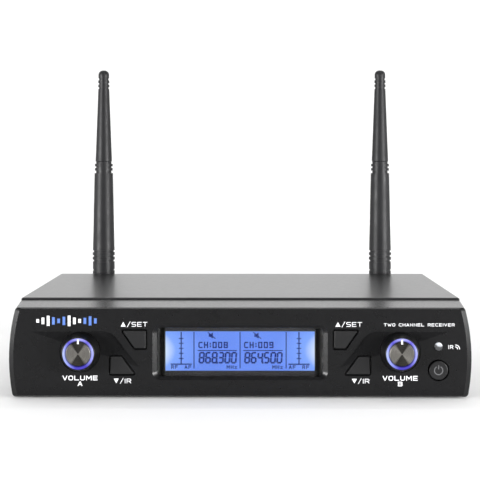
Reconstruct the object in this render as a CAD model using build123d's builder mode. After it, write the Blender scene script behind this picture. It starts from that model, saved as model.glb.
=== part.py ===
"""Half-rack wireless microphone receiver with two channels: case, front panel, display, controls, boards,
rear sockets and two hinged antennas. Millimetres, +X to the right, the front towards -Y and +Z up. It stands
on its foot pads at Z = 0."""

from build123d import *
import math
import os

os.makedirs("parts", exist_ok=True)

# Driving dimensions. Depths are measured back from the front face, and heights up from the case's underside.
FACE_HEIGHT = 40.7
CASE_HEIGHT = 43.8
PANEL_DEPTH = 17.4
LIP_HEIGHT = 42.9  # the panel's top, where it meets the cover
COVER_FRONT, COVER_BACK = 18.0, 158.0
COVER_HALF = 103.0
COVER_WALL, COVER_BEND = 1.2, 0.9
TRAY_HALF, TRAY_WALL = 101.6, 1.0
REAR_FRONT, REAR_BACK = 156.4, 157.6
REAR_BOTTOM, REAR_TOP = 1.1, 42.5
REAR_CUT = (REAR_FRONT - 7, REAR_BACK + 4)  # the depths that the rear panel's holes are cut over

PANEL_WALL = 3.0
HOLLOW_HALF, HOLLOW_BOTTOM, HOLLOW_TOP = 99.8, 3.0, 38.6  # the space behind the front panel's face
TONGUE_HALF, TONGUE_BOTTOM, TONGUE_TOP, TONGUE_WALL = 101.2, 1.2, 42.4, 1.4
SEAT = 3.2  # where pieces behind the face start
BOARD_FRONT, BOARD_BACK = 9.6, 11.2
MAIN_BOTTOM, MAIN_TOP = 6.6, 8.2
MAIN_FRONT, MAIN_REAR = 33.0, 150.0
TONGUE_BACK = PANEL_DEPTH + 3.2

KNOB_X, KNOB_Z = 73.2, 20.8
KNOB_PLACES = [(-KNOB_X, KNOB_Z), (KNOB_X, KNOB_Z)]
KNOB_REACH = 8.2
KNOB_SKIRT, KNOB_NOSE = 9.0, 7.5
RING_OUTER, RING_INNER = 7.1, 5.75
CAP_RADIUS = 5.6
SHAFT_RADIUS, BUSH_RADIUS = 3.0, 3.5
POINTER_WIDTH, POINTER_INNER, POINTER_OUTER = 0.8, 4.5, 6.5

LENS_X, LENS_Z, LENS_RADIUS = 90.7, 23.2, 1.9
POWER_X, POWER_Z, POWER_RADIUS, POWER_HOLE = 90.7, 12.4, 4.3, 5.0
BUTTON_GAP, BUTTON_CORNER = 0.55, 0.7
OPENING_CHAMFER = 0.3

WINDOW_HALF, WINDOW_BOTTOM, WINDOW_TOP = 38.1, 9.3, 31.7
WINDOW_DEPTH, WINDOW_CORNER = 1.2, 2.4
BEVEL_WIDTH = 2.0

ANTENNA_X, ANTENNA_Z, ANTENNA_DEPTH = 79.3, 30.0, 166.4
ANTENNA_TOP, ANTENNA_THREAD = 159.9, 4.0
XLR_X, XLR_Z, XLR_RADIUS, XLR_BORE = (14.0, 44.0), 22.0, 11.8, 9.6
JACK_X, JACK_Z, JACK_COLLAR, JACK_BORE = -18.0, 22.0, 4.7, 3.2
DC_X, DC_Z, DC_COLLAR, DC_BORE = -46.0, 22.0, 4.0, 2.8

SCREW_RADIUS, SCREW_CLEARANCE, SCREW_HEAD, SCREW_HEAD_HEIGHT = 1.25, 1.6, 2.75, 1.4
RECESS_REACH, RECESS_WIDTH, RECESS_DEPTH = 1.5, 0.3, 0.8  # the arms of the cross in a head, half sizes
SMALL_SCREW, SMALL_HEAD = 1.2, 2.2
SUNK_HEAD = 2.6

PAD_RADIUS, PAD_PROUD, PAD_SUNK = 7.0, 0.6, 0.4
PAD_PLACES = [(x, y) for x in (-85, 85) for y in (34, 142)]
STANDOFF_PLACES = [(x, y) for x in (-84, 84) for y in (37, 145)]
BOARD_SCREW_PLACES = [(x, z) for x in (-64, 64) for z in (6.5, 35)]
SIDE_SCREW_PLACES = [(44, 9), (104, 9), (151, 30)]
PANEL_SCREW_PLACES = [(x, PANEL_DEPTH + 8) for x in (-66, 0, 66)]
REAR_SCREW_PLACES = [(-70, 7.5), (70, 7.5)]

# The masts reach furthest back and the knobs furthest forward, and the middle between the two is Y = 0.
MAST_RADIUS = 6.35
FACE_Y = (KNOB_REACH - ANTENNA_DEPTH - MAST_RADIUS) / 2
SIDES = {"a": -1, "b": 1}


def front(depth):
    """The upright plane at a depth, seen from the front: local x is X and local y is height."""
    return Plane(origin=(0, FACE_Y + depth, PAD_PROUD), x_dir=(1, 0, 0), z_dir=(0, -1, 0))


def level(height):
    """The level plane at a height: local x is X and local y is depth."""
    return Plane(origin=(0, FACE_Y, PAD_PROUD + height), x_dir=(1, 0, 0), z_dir=(0, 0, 1))


def side(x):
    """The upright plane across the width at X: local x is depth and local y is height."""
    return Plane(origin=(x, FACE_Y, PAD_PROUD), x_dir=(0, 1, 0), z_dir=(1, 0, 0))


def slab(xs, depths, heights, mode=Mode.ADD):
    """A rectangular block between two corners."""
    with BuildSketch(level(heights[0])) as outline:
        with Locations(((xs[0] + xs[1]) / 2, (depths[0] + depths[1]) / 2)):
            Rectangle(xs[1] - xs[0], depths[1] - depths[0])
    extrude(outline.sketch, amount=heights[1] - heights[0], mode=mode)


def rod(places, radius, depths, mode=Mode.ADD):
    """Round bars along the depth, one at each (x, height)."""
    with BuildSketch(front(depths[0])) as outline:
        with Locations(*places):
            Circle(radius)
    extrude(outline.sketch, amount=depths[0] - depths[1], mode=mode)


def post(places, radius, heights, mode=Mode.ADD):
    """Round upright bars, one at each (x, depth)."""
    with BuildSketch(level(heights[0])) as outline:
        with Locations(*places):
            Circle(radius)
    extrude(outline.sketch, amount=heights[1] - heights[0], mode=mode)


def rounded_bar(depths, half, bottom, top, corner, mode=Mode.ADD):
    """A bar along the depth with a rounded rectangular outline, centred across the width."""
    with BuildSketch(front(depths[0])) as outline:
        with Locations((0, (bottom + top) / 2)):
            RectangleRounded(2 * half, top - bottom, corner)
    extrude(outline.sketch, amount=depths[0] - depths[1], mode=mode)


def cut_crosses(places, back, scale):
    """Cuts a cross recess in each rear screw head, whose outer end is at the depth named back."""
    reach, width = RECESS_REACH * scale, RECESS_WIDTH * scale
    for x, height in places:
        for half, rise in ((reach, width), (width, reach)):
            depths = (back - RECESS_DEPTH * scale, back + 1)
            slab((x - half, x + half), depths, (height - rise, height + rise), mode=Mode.SUBTRACT)


def save(piece, name):
    piece.part.label = name
    export_step(piece.part, f"parts/{name}.step")


# ---- Front panel -------------------------------------------------------------------------------

def panel_section(depth, top, bottom, half_top, half_middle, half_bottom, corner):
    """One outline of the barrel-sided front panel."""
    with BuildSketch(front(depth)) as section:
        with BuildLine():
            Line((-half_bottom, bottom), (half_bottom, bottom))
            ThreePointArc((half_bottom, bottom), (half_middle, top * 0.5), (half_top, top))
            Line((half_top, top), (-half_top, top))
            ThreePointArc((-half_top, top), (-half_middle, top * 0.5), (-half_bottom, bottom))
        make_face()
        fillet(section.vertices(), corner)
    return section.sketch


def set_button_outline(sign, grow):
    """The upper button's trapezoid, in the panel's own plane."""
    return [
        (sign * (54.9 + 1.9 * grow), 30.9 + grow),
        (sign * (42.6 - grow), 30.9 + grow),
        (sign * (42.6 - grow), 21.8 - grow),
        (sign * (48.5 + 0.5 * grow), 21.8 - grow),
    ]


def ir_button_outline(sign, grow):
    """The lower button's trapezoid, in the panel's own plane."""
    return [
        (sign * (59.9 + grow), 19.1 + grow),
        (sign * (54.0 - 0.5 * grow), 19.1 + grow),
        (sign * (47.4 - 1.9 * grow), 10.0 - grow),
        (sign * (59.9 + grow), 10.0 - grow),
    ]


BUTTONS = {"set": (set_button_outline, (47.6, 27.0)), "ir": (ir_button_outline, (56.2, 14.0))}


def trapezoid_face(points, depth, corner):
    """A button's outline with rounded corners, at a depth."""
    with BuildSketch(front(depth)) as outline:
        with BuildLine():
            Polyline(*points, close=True)
        make_face()
        fillet(outline.vertices(), corner)
    return outline.sketch


def trapezoid(points, depths, corner, mode=Mode.ADD):
    """A bar along the depth with a button's outline."""
    extrude(trapezoid_face(points, depths[0], corner), amount=depths[0] - depths[1], mode=mode)


# The sculpted step runs level from its outer end, round a curve, then down between the two buttons. The
# surface below it tilts back from the chord between the step's ends, so the step is deepest at the curve and
# dies away at both ends.
STEP_START, STEP_BEND, STEP_END = (96.0, 30.05), (63.3, 30.05), (45.6, 13.6)
STEP_RADIUS, STEP_TURN, STEP_DEPTH = 9.0, 55.0, 1.05
CHORD_REACH = 10.3


def cut_step(sign):
    """Cuts the tilted surface under the step on one half of the face."""
    chord = Vector(STEP_END[0] - STEP_START[0], 0, STEP_END[1] - STEP_START[1]).normalized()
    along = Vector(-chord.X, 0, -sign * chord.Z)
    rise = Vector(sign * chord.Z, 0, -chord.X)
    tilt = math.atan2(STEP_DEPTH, CHORD_REACH)
    up = rise * math.cos(tilt) + Vector(0, math.sin(tilt), 0)
    origin = Vector(sign * STEP_START[0], FACE_Y, PAD_PROUD + STEP_START[1])
    plane = Plane(origin=origin, x_dir=along, z_dir=along.cross(up))

    def local(x, z):
        offset = Vector(sign * x, FACE_Y, PAD_PROUD + z) - origin
        return (offset.dot(along), offset.dot(rise) / math.cos(tilt))

    turn = math.radians(STEP_TURN)
    bend_middle, bend_end = (
        (STEP_BEND[0] - STEP_RADIUS * math.sin(part), STEP_BEND[1] - STEP_RADIUS * (1 - math.cos(part)))
        for part in (turn / 2, turn)
    )
    # The last stretch bows a little towards the display.
    tail_middle = ((bend_end[0] + STEP_END[0]) / 2 + 0.25, (bend_end[1] + STEP_END[1]) / 2 - 0.25)
    with BuildSketch(plane) as region:
        with BuildLine():
            Line(local(*STEP_START), local(*STEP_BEND))
            ThreePointArc(local(*STEP_BEND), local(*bend_middle), local(*bend_end))
            ThreePointArc(local(*bend_end), local(*tail_middle), local(*STEP_END))
            Line(local(*STEP_END), local(*STEP_START))
        make_face()
    extrude(region.sketch, amount=4, mode=Mode.SUBTRACT)


with BuildPart() as front_panel:
    sections = [
        panel_section(0, FACE_HEIGHT - 0.3, 0.7, 100.8, 103.8, 102.1, 1.4),
        panel_section(1.6, FACE_HEIGHT + 0.2, 0, 103.0, 106.0, 104.3, 1.8),
        panel_section(PANEL_DEPTH, LIP_HEIGHT, 0, 103.4, 104.0, 103.6, 1.8),
    ]
    loft(sections, ruled=True)
    hollow = (PANEL_WALL, PANEL_DEPTH + 1)
    slab((-HOLLOW_HALF, HOLLOW_HALF), hollow, (HOLLOW_BOTTOM, HOLLOW_TOP), mode=Mode.SUBTRACT)
    # The tongue that goes inside the cover.
    with BuildSketch(front(PANEL_DEPTH - 3)):
        with Locations((0, (TONGUE_BOTTOM + TONGUE_TOP) / 2)):
            Rectangle(2 * TONGUE_HALF, TONGUE_TOP - TONGUE_BOTTOM)
        offset(amount=-TONGUE_WALL, kind=Kind.INTERSECTION, mode=Mode.SUBTRACT)
    extrude(amount=PANEL_DEPTH - 3 - TONGUE_BACK)
    for x, depth in PANEL_SCREW_PLACES:
        slab((x - 5, x + 5), (PANEL_DEPTH - 1, depth + 4), (TRAY_WALL + 0.1, 3.8))
    for sign in SIDES.values():
        cut_step(sign)
    # The display's opening, with its bevelled rim.
    for depth, grow, corner in ((0, BEVEL_WIDTH, WINDOW_CORNER + 1.4), (WINDOW_DEPTH, 0, WINDOW_CORNER)):
        with BuildSketch(front(depth)):
            with Locations((0, (WINDOW_BOTTOM + WINDOW_TOP) / 2)):
                RectangleRounded(2 * (WINDOW_HALF + grow), WINDOW_TOP - WINDOW_BOTTOM + 1.5 * grow, corner)
    loft(ruled=True, mode=Mode.SUBTRACT)
    rounded_bar(
        (WINDOW_DEPTH - 0.1, PANEL_WALL + 0.1), WINDOW_HALF, WINDOW_BOTTOM, WINDOW_TOP, WINDOW_CORNER,
        mode=Mode.SUBTRACT,
    )
    for sign in SIDES.values():
        for outline, _ in BUTTONS.values():
            trapezoid(outline(sign, 0), (-1, PANEL_WALL + 0.1), BUTTON_CORNER, mode=Mode.SUBTRACT)
            rims = [
                trapezoid_face(outline(sign, OPENING_CHAMFER), 0, BUTTON_CORNER + OPENING_CHAMFER),
                trapezoid_face(outline(sign, 0), OPENING_CHAMFER, BUTTON_CORNER),
            ]
            loft(rims, ruled=True, mode=Mode.SUBTRACT)
    rod(KNOB_PLACES, KNOB_SKIRT + 0.5, (-1, 0.9), mode=Mode.SUBTRACT)
    rod(KNOB_PLACES, BUSH_RADIUS + 0.1, (0.5, PANEL_WALL + 0.1), mode=Mode.SUBTRACT)
    rod([(POWER_X, POWER_Z)], POWER_HOLE, (-1, PANEL_WALL + 0.1), mode=Mode.SUBTRACT)
    rod([(LENS_X, LENS_Z)], LENS_RADIUS + 0.1, (-1, PANEL_WALL + 0.1), mode=Mode.SUBTRACT)
    rod(BOARD_SCREW_PLACES, 2.5, (PANEL_WALL - 0.1, BOARD_FRONT))
    rod(BOARD_SCREW_PLACES, SMALL_SCREW, (PANEL_WALL + 1, BOARD_FRONT + 1), mode=Mode.SUBTRACT)
    post(PANEL_SCREW_PLACES, SMALL_SCREW, (0, 5), mode=Mode.SUBTRACT)
save(front_panel, "front_panel")

# ---- Case --------------------------------------------------------------------------------------

with BuildPart() as top_cover:
    with BuildSketch(front(COVER_FRONT)) as shell:
        with Locations((0, (CASE_HEIGHT + 0.3) / 2)):
            Rectangle(2 * COVER_HALF, CASE_HEIGHT - 0.3)
        fillet(shell.vertices().group_by(Axis.Z)[-1], COVER_BEND)
        with Locations((0, (CASE_HEIGHT - COVER_WALL) / 2)):
            Rectangle(2 * (COVER_HALF - COVER_WALL), CASE_HEIGHT - COVER_WALL, mode=Mode.SUBTRACT)
    extrude(amount=COVER_FRONT - COVER_BACK)
    for sign in SIDES.values():
        with BuildSketch(side(sign * (COVER_HALF - 3))):
            with Locations(*SIDE_SCREW_PLACES):
                Circle(SCREW_CLEARANCE)
        extrude(amount=sign * 6, mode=Mode.SUBTRACT)
    front_edges = top_cover.faces().sort_by(Axis.Y)[0].edges().filter_by(Axis.X).sort_by(Axis.Z)[-1]
    chamfer(front_edges, 0.4)
save(top_cover, "top_cover")

with BuildPart() as base_tray:
    with BuildSketch(front(COVER_FRONT + 0.2)) as channel:
        with Locations((0, 7)):
            Rectangle(2 * TRAY_HALF, 14)
        fillet(channel.vertices().group_by(Axis.Z)[0], 1.4)
        with Locations((0, 8)):
            Rectangle(2 * (TRAY_HALF - TRAY_WALL), 14, mode=Mode.SUBTRACT)
    extrude(amount=COVER_FRONT + 0.2 - REAR_BACK)
    # The side flanges start behind the front panel's tongue.
    full_width = (-COVER_HALF, COVER_HALF)
    slab(full_width, (COVER_FRONT, TONGUE_BACK + 2), (TRAY_WALL, 15), mode=Mode.SUBTRACT)
    slab(full_width, (REAR_FRONT, COVER_BACK), (REAR_BOTTOM - 0.1, 15), mode=Mode.SUBTRACT)
    for x, _ in REAR_SCREW_PLACES:
        slab((x - 6, x + 6), (REAR_FRONT - TRAY_WALL, REAR_FRONT), (TRAY_WALL - 0.1, 12))
    rod(REAR_SCREW_PLACES, SCREW_RADIUS, REAR_CUT, mode=Mode.SUBTRACT)
    post(PAD_PLACES, PAD_RADIUS + 0.1, (-1, PAD_SUNK), mode=Mode.SUBTRACT)
    for place in PANEL_SCREW_PLACES:
        with BuildSketch(level(0)):
            with Locations(place):
                Circle(SUNK_HEAD)
        with BuildSketch(level(TRAY_WALL)):
            with Locations(place):
                Circle(SCREW_CLEARANCE)
        loft(mode=Mode.SUBTRACT)
    for sign in SIDES.values():
        with BuildSketch(side(sign * (TRAY_HALF - 2))):
            with Locations(*SIDE_SCREW_PLACES[:2]):
                Circle(SCREW_RADIUS)
        extrude(amount=sign * 4, mode=Mode.SUBTRACT)
save(base_tray, "base_tray")

XLR_PLACES = [(x, XLR_Z) for x in XLR_X]
XLR_SCREW_PLACES = [(x + dx, XLR_Z + dz) for x in XLR_X for dx, dz in ((-9.5, 12), (9.5, -12))]
ANTENNA_PLACES = [(sign * ANTENNA_X, ANTENNA_Z) for sign in SIDES.values()]

with BuildPart() as rear_panel:
    slab((-TRAY_HALF, TRAY_HALF), (REAR_FRONT, REAR_BACK), (REAR_BOTTOM, REAR_TOP))
    for sign in SIDES.values():
        edge = sorted((sign * (TRAY_HALF - 1.2), sign * TRAY_HALF))
        slab(edge, (REAR_FRONT - 11, REAR_FRONT + 0.1), (16, REAR_TOP))
        with BuildSketch(side(sign * (TRAY_HALF - 2))):
            with Locations(SIDE_SCREW_PLACES[2]):
                Circle(SCREW_RADIUS)
        extrude(amount=sign * 4, mode=Mode.SUBTRACT)
    rod(XLR_PLACES, XLR_RADIUS + 0.2, REAR_CUT, mode=Mode.SUBTRACT)
    rod(XLR_SCREW_PLACES, SCREW_RADIUS, REAR_CUT, mode=Mode.SUBTRACT)
    rod([(JACK_X, JACK_Z)], JACK_COLLAR + 0.1, REAR_CUT, mode=Mode.SUBTRACT)
    rod([(DC_X, DC_Z)], DC_COLLAR + 0.1, REAR_CUT, mode=Mode.SUBTRACT)
    rod(ANTENNA_PLACES, ANTENNA_THREAD + 0.1, REAR_CUT, mode=Mode.SUBTRACT)
    rod(REAR_SCREW_PLACES, SCREW_CLEARANCE, REAR_CUT, mode=Mode.SUBTRACT)
save(rear_panel, "rear_panel")

with BuildPart() as foot_pads:
    post(PAD_PLACES, PAD_RADIUS, (-PAD_PROUD, PAD_SUNK))
    chamfer(foot_pads.faces().group_by(Axis.Z)[0].edges(), 0.25)
save(foot_pads, "foot_pads")

# ---- Display -----------------------------------------------------------------------------------

with BuildPart() as display_window:
    rounded_bar(
        (WINDOW_DEPTH, PANEL_WALL + 0.05), WINDOW_HALF - 0.12, WINDOW_BOTTOM + 0.12, WINDOW_TOP - 0.12,
        WINDOW_CORNER - 0.12,
    )
    rounded_bar((PANEL_WALL, PANEL_WALL + 1), WINDOW_HALF + 2, WINDOW_BOTTOM - 2, WINDOW_TOP + 2, 1)
save(display_window, "display_window")

LCD_HALF, LCD_BOTTOM, LCD_TOP = 36.0, 9.7, 31.9
LCD_FRONT, LCD_BACK, LIGHT_BACK = 4.6, 6.4, 8.8

with BuildPart() as display_gasket:
    rounded_bar((PANEL_WALL + 1, LCD_FRONT), LCD_HALF + 1, LCD_BOTTOM - 1, LCD_TOP + 1, 0.6)
    rounded_bar((PANEL_WALL + 1, LCD_FRONT), 34.8, 11.3, 30.4, 0.4, mode=Mode.SUBTRACT)
save(display_gasket, "display_gasket")

with BuildPart() as lcd_glass:
    rounded_bar((LCD_FRONT, LCD_BACK), LCD_HALF, LCD_BOTTOM, LCD_TOP, 0.4)
save(lcd_glass, "lcd_glass")

with BuildPart() as lcd_backlight:
    rounded_bar((LCD_BACK, LIGHT_BACK), LCD_HALF, LCD_BOTTOM, LCD_TOP, 0.4)
save(lcd_backlight, "lcd_backlight")

with BuildPart() as lcd_frame:
    rounded_bar((LCD_FRONT + 0.2, BOARD_FRONT), LCD_HALF + 1.8, LCD_BOTTOM - 1.6, LCD_TOP + 1.6, 1)
    rounded_bar((LCD_FRONT, LIGHT_BACK), LCD_HALF, LCD_BOTTOM, LCD_TOP, 0.4, mode=Mode.SUBTRACT)
save(lcd_frame, "lcd_frame")

# ---- Buttons -----------------------------------------------------------------------------------

for side_name, sign in SIDES.items():
    for kind, (outline, (stem_x, stem_z)) in BUTTONS.items():
        with BuildPart() as button:
            trapezoid(outline(sign, -BUTTON_GAP), (-0.3, SEAT + 0.1), BUTTON_CORNER * 0.7)
            rim = button.faces().sort_by(Axis.Y)[0].edges()
            chamfer(rim, 0.3)
            trapezoid(outline(sign, 0.7), (SEAT, SEAT + 0.8), BUTTON_CORNER)
            rod([(sign * stem_x, stem_z)], 1.4, (SEAT + 0.7, 7.2))
        save(button, f"{kind}_button_{side_name}")

SWITCH_PLACES = [(sign * stem[0], stem[1]) for sign in SIDES.values() for _, stem in BUTTONS.values()]
with BuildPart() as tact_switches:
    with BuildSketch(front(7.0)):
        with Locations(*SWITCH_PLACES):
            Rectangle(6, 6)
    extrude(amount=7.0 - BOARD_FRONT)
    rod(SWITCH_PLACES, 1.75, (6, 8.6), mode=Mode.SUBTRACT)
save(tact_switches, "tact_switches")

with BuildPart() as power_button:
    rod([(POWER_X, POWER_Z)], POWER_RADIUS, (-0.5, SEAT + 0.1))
    fillet(power_button.faces().sort_by(Axis.Y)[0].edges(), 0.4)
    rod([(POWER_X, POWER_Z)], POWER_HOLE + 0.6, (SEAT, SEAT + 0.8))
    rod([(POWER_X, POWER_Z)], 1.5, (SEAT + 0.7, 6.8))
save(power_button, "power_button")

with BuildPart() as power_switch:
    slab((POWER_X - 3.5, POWER_X + 3.5), (6.2, BOARD_FRONT), (POWER_Z - 3.5, POWER_Z + 3.5))
    rod([(POWER_X, POWER_Z)], 1.85, (5, 8.8), mode=Mode.SUBTRACT)
save(power_switch, "power_switch")

# ---- Volume controls ---------------------------------------------------------------------------

for side_name, sign in SIDES.items():
    centre = (sign * KNOB_X, KNOB_Z)

    with BuildPart() as knob:
        for depth, radius in ((0.4, KNOB_SKIRT), (-0.9, KNOB_SKIRT - 0.05), (0.3 - KNOB_REACH, KNOB_NOSE)):
            with BuildSketch(front(depth)):
                with Locations(centre):
                    Circle(radius)
        loft(ruled=True)
        fillet(knob.faces().sort_by(Axis.Y)[0].edges(), 0.25)
        rod([centre], RING_OUTER, (-KNOB_REACH, -6.0), mode=Mode.SUBTRACT)
        rod([centre], 6.9, (-3.4, 1), mode=Mode.SUBTRACT)
        rod([centre], SHAFT_RADIUS, (-5.0, 1), mode=Mode.SUBTRACT)
    save(knob, f"knob_{side_name}")

    slot_low, slot_high = KNOB_Z + POINTER_INNER, KNOB_Z + POINTER_OUTER
    slot_sides = (centre[0] - POINTER_WIDTH / 2, centre[0] + POINTER_WIDTH / 2)

    with BuildPart() as ring:
        rod([centre], RING_OUTER, (-7.9, -6.0))
        rod([centre], RING_INNER, (-9, -5), mode=Mode.SUBTRACT)
        fillet(ring.faces().sort_by(Axis.Y)[0].edges(), 0.4)
        slab(slot_sides, (-9, -6.6), (slot_low, slot_high), mode=Mode.SUBTRACT)
    save(ring, f"knob_ring_{side_name}")

    with BuildPart() as cap:
        rod([centre], CAP_RADIUS, (-KNOB_REACH, -6.0))
        chamfer(cap.faces().sort_by(Axis.Y)[0].edges(), 0.25)
        slab(slot_sides, (-9, -6.6), (slot_low, slot_high), mode=Mode.SUBTRACT)
    save(cap, f"knob_cap_{side_name}")

    with BuildPart() as pointer:
        slab(slot_sides, (-KNOB_REACH, -6.6), (slot_low, slot_high))
    save(pointer, f"knob_pointer_{side_name}")

    with BuildPart() as shaft:
        rod([centre], SHAFT_RADIUS, (-5.0, 6.0))
    save(shaft, f"pot_shaft_{side_name}")

    with BuildPart() as pot:
        slab((centre[0] - 6, centre[0] + 6), (SEAT, BOARD_FRONT), (KNOB_Z - 6, KNOB_Z + 6))
        rod([centre], BUSH_RADIUS, (-2.4, SEAT + 0.1))
        rod([centre], SHAFT_RADIUS + 0.05, (-3, 6.1), mode=Mode.SUBTRACT)
    save(pot, f"pot_body_{side_name}")

with BuildPart() as pot_nuts:
    with BuildSketch(front(-1.3)):
        with Locations(*KNOB_PLACES):
            RegularPolygon(5.6, 6)
            Circle(BUSH_RADIUS, mode=Mode.SUBTRACT)
    extrude(amount=-2.2)
save(pot_nuts, "pot_nuts")

with BuildPart() as ir_lens:
    rod([(LENS_X, LENS_Z)], LENS_RADIUS, (-0.7, SEAT))
    fillet(ir_lens.faces().sort_by(Axis.Y)[0].edges(), 0.6)
    rod([(LENS_X, LENS_Z)], 3.0, (SEAT - 0.1, SEAT + 1.2))
    rod([(LENS_X, LENS_Z)], 1.5, (SEAT + 1.1, BOARD_FRONT))
save(ir_lens, "ir_lens")

# ---- Boards ------------------------------------------------------------------------------------

with BuildPart() as display_board:
    slab((-96, 96), (BOARD_FRONT, BOARD_BACK), (4.0, 37.6))
    rod(BOARD_SCREW_PLACES, SMALL_SCREW, (9, 12), mode=Mode.SUBTRACT)
save(display_board, "display_board")

with BuildPart() as display_board_screws:
    rod(BOARD_SCREW_PLACES, SMALL_SCREW, (PANEL_WALL + 1.5, BOARD_BACK + 0.1))
    rod(BOARD_SCREW_PLACES, SMALL_HEAD, (BOARD_BACK, BOARD_BACK + 1.4))
save(display_board_screws, "display_board_screws")

with BuildPart() as main_board:
    slab((-88, 88), (MAIN_FRONT, MAIN_REAR), (MAIN_BOTTOM, MAIN_TOP))
    post(STANDOFF_PLACES, SCREW_RADIUS, (5, 10), mode=Mode.SUBTRACT)
save(main_board, "main_board")

with BuildPart() as standoffs:
    with BuildSketch(level(TRAY_WALL)):
        with Locations(*STANDOFF_PLACES):
            RegularPolygon(3, 6)
            Circle(SCREW_RADIUS, mode=Mode.SUBTRACT)
    extrude(amount=MAIN_BOTTOM - TRAY_WALL)
save(standoffs, "standoffs")

with BuildPart() as main_board_screws:
    post(STANDOFF_PLACES, SCREW_RADIUS, (3, MAIN_TOP + 0.1))
    post(STANDOFF_PLACES, SUNK_HEAD, (MAIN_TOP, MAIN_TOP + 1.8))
save(main_board_screws, "main_board_screws")

RIBBON_START, RIBBON_END = (15.2, 24.5), (38.0, 12.2)
with BuildPart() as ribbon_headers:
    slab((-13, 13), (BOARD_BACK, RIBBON_START[0]), (RIBBON_START[1] - 3, RIBBON_START[1] + 3))
    slab((-13, 13), (RIBBON_END[0] - 2.5, RIBBON_END[0] + 2.5), (MAIN_TOP, RIBBON_END[1]))
save(ribbon_headers, "ribbon_headers")

RIBBON_RADIUS = 5.5
with BuildPart() as ribbon_cable:
    with BuildLine() as ribbon_path:
        FilletPolyline(
            side(0).from_local_coords(RIBBON_START),
            side(0).from_local_coords((RIBBON_END[0], RIBBON_START[1])),
            side(0).from_local_coords(RIBBON_END),
            radius=RIBBON_RADIUS,
        )
    with BuildSketch(front(RIBBON_START[0])):
        with Locations((0, RIBBON_START[1])):
            Rectangle(22, 0.9)
    sweep(path=ribbon_path.line)
save(ribbon_cable, "ribbon_cable")
print("ribbon bend radius", RIBBON_RADIUS)

LEAD_RADIUS = 0.9
LEAD_START = REAR_FRONT - 8
MODULE_BACK = LEAD_START - 29
for side_name, sign in SIDES.items():
    with BuildPart() as module:
        slab(sorted((sign * 49, sign * 83)), (MODULE_BACK - 50, MODULE_BACK), (MAIN_TOP, MAIN_TOP + 9))
        fillet(module.edges().filter_by(Axis.Z), 1)
    save(module, f"rf_module_{side_name}")

    route = [
        (sign * ANTENNA_X, LEAD_START, ANTENNA_Z),
        (sign * ANTENNA_X, LEAD_START - 11.5, ANTENNA_Z),
        (sign * 66, MODULE_BACK + 10.5, 13),
        (sign * 66, MODULE_BACK, 13),
    ]
    points = [Vector(x, FACE_Y + y, PAD_PROUD + z) for x, y, z in route]
    runs = [end - start for start, end in zip(points, points[1:])]
    radii = []
    for before, after in zip(runs, runs[1:]):
        half_turn = math.radians(before.get_angle(after)) / 2
        radii.append(0.45 * min(before.length, after.length) / math.tan(half_turn))
    with BuildPart() as lead:
        with BuildLine() as lead_path:
            FilletPolyline(*points, radius=radii)
        with BuildSketch(front(LEAD_START)):
            with Locations(route[0][::2]):
                Circle(LEAD_RADIUS)
        sweep(path=lead_path.line)
    save(lead, f"coax_lead_{side_name}")
    section = math.pi * LEAD_RADIUS**2 * lead_path.wires()[0].length
    print("lead", side_name, "radii", [round(r, 2) for r in radii])
    print("lead", side_name, "volume", round(lead.part.volume, 1), "section by length", round(section, 1))

with BuildPart() as capacitors:
    post([(-34, 48), (-34, 60), (-22, 60), (34, 48), (34, 60)], 4, (MAIN_TOP, MAIN_TOP + 11))
    chamfer(capacitors.faces().group_by(Axis.Z)[-1].edges(), 0.4)
save(capacitors, "capacitors")

with BuildPart() as chips:
    slab((-7, 7), (65, 79), (MAIN_TOP, MAIN_TOP + 1.6))
    for x in (-24, 24):
        for depth in (84, 100):
            slab((x - 4, x + 4), (depth - 3, depth + 3), (MAIN_TOP, MAIN_TOP + 1.6))
save(chips, "chips")

# ---- Rear sockets ------------------------------------------------------------------------------

XLR_FRONT, XLR_BACK = REAR_BACK - 18, REAR_BACK + 2.0
INSERT_BACK = XLR_FRONT + 6
with BuildPart() as xlr_shells:
    rod(XLR_PLACES, XLR_RADIUS, (XLR_FRONT, REAR_BACK + 0.5))
    with BuildSketch(front(REAR_BACK)) as flanges:
        with Locations(*XLR_PLACES):
            RectangleRounded(26, 31, 3)
    extrude(amount=REAR_BACK - XLR_BACK)
    rod(XLR_PLACES, XLR_BORE, (XLR_FRONT - 1, XLR_BACK + 1), mode=Mode.SUBTRACT)
    rod(XLR_SCREW_PLACES, SCREW_RADIUS, REAR_CUT, mode=Mode.SUBTRACT)
save(xlr_shells, "xlr_shells")

PIN_PLACES = [
    (x + 5 * math.cos(math.radians(angle)), XLR_Z + 5 * math.sin(math.radians(angle)))
    for x in XLR_X
    for angle in (20, 160, 270)
]
with BuildPart() as xlr_inserts:
    rod(XLR_PLACES, XLR_BORE, (XLR_FRONT + 0.5, INSERT_BACK))
    rod(PIN_PLACES, 1.2, (XLR_FRONT, INSERT_BACK + 1), mode=Mode.SUBTRACT)
save(xlr_inserts, "xlr_inserts")

with BuildPart() as xlr_pins:
    rod(PIN_PLACES, 1.2, (XLR_FRONT - 3, XLR_BACK - 2.7))
    fillet(xlr_pins.faces().group_by(Axis.Y)[-1].edges(), 0.7)
save(xlr_pins, "xlr_pins")

with BuildPart() as xlr_screws:
    rod(XLR_SCREW_PLACES, SCREW_RADIUS, (REAR_FRONT - 5, XLR_BACK + 0.1))
    rod(XLR_SCREW_PLACES, SMALL_HEAD, (XLR_BACK, XLR_BACK + 0.8))
    fillet(xlr_screws.faces().group_by(Axis.Y)[-1].edges(), 0.4)
    cut_crosses(XLR_SCREW_PLACES, XLR_BACK + 0.8, 0.7)
save(xlr_screws, "xlr_screws")

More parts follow.
